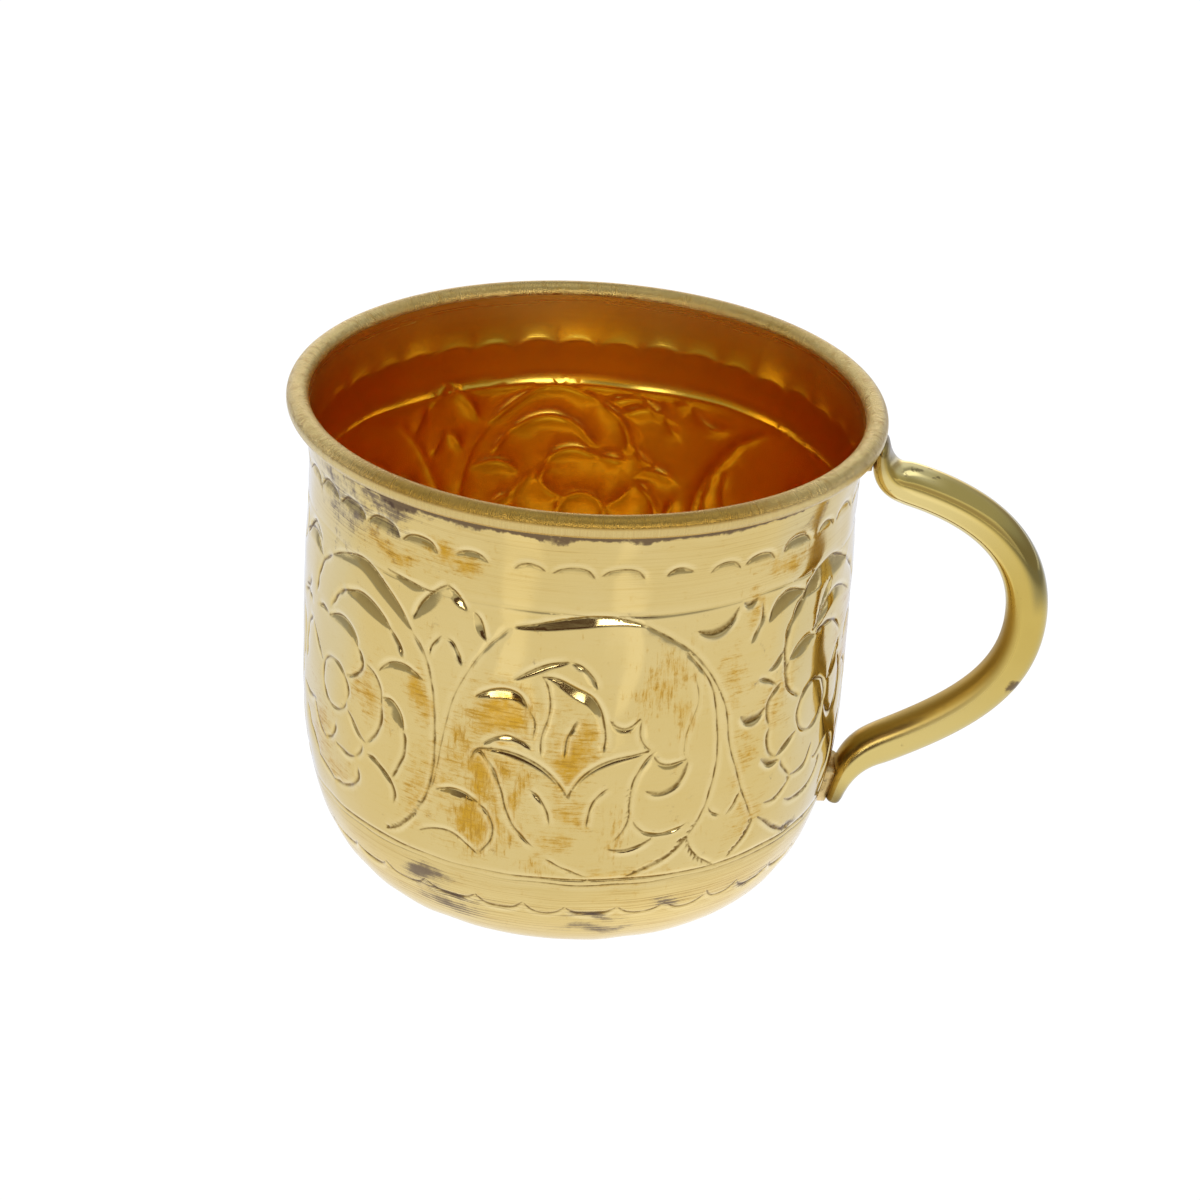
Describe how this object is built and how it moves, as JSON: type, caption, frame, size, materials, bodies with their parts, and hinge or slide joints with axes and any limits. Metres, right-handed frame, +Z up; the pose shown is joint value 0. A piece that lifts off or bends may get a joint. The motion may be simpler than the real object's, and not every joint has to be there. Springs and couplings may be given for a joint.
{
  "type": "brass cup",
  "caption": "Straight-sided brass cup with a rounded lower wall, flat base, wired rolled rim, chased floral belt and a cast loop handle brazed to its side.",
  "frame": {"origin": "middle of the flat base, on the cup's axis, at the surface that it stands on", "axes": "+Z up along the cup's axis, +X towards the handle"},
  "size_m": [0.1168, 0.09, 0.0776],
  "materials": {
    "chased_brass": "polished sheet, chased, tarnished in its recesses",
    "drawn_brass": "bright drawn wire",
    "cast_brass": "polished casting",
    "brazing_filler": "brushed filler"
  },
  "bodies": {
    "root": {"cup_body": "chased_brass", "rim_wire": "drawn_brass", "handle": "cast_brass", "upper_braze": "brazing_filler", "lower_braze": "brazing_filler"}
  },
  "joints": []
}
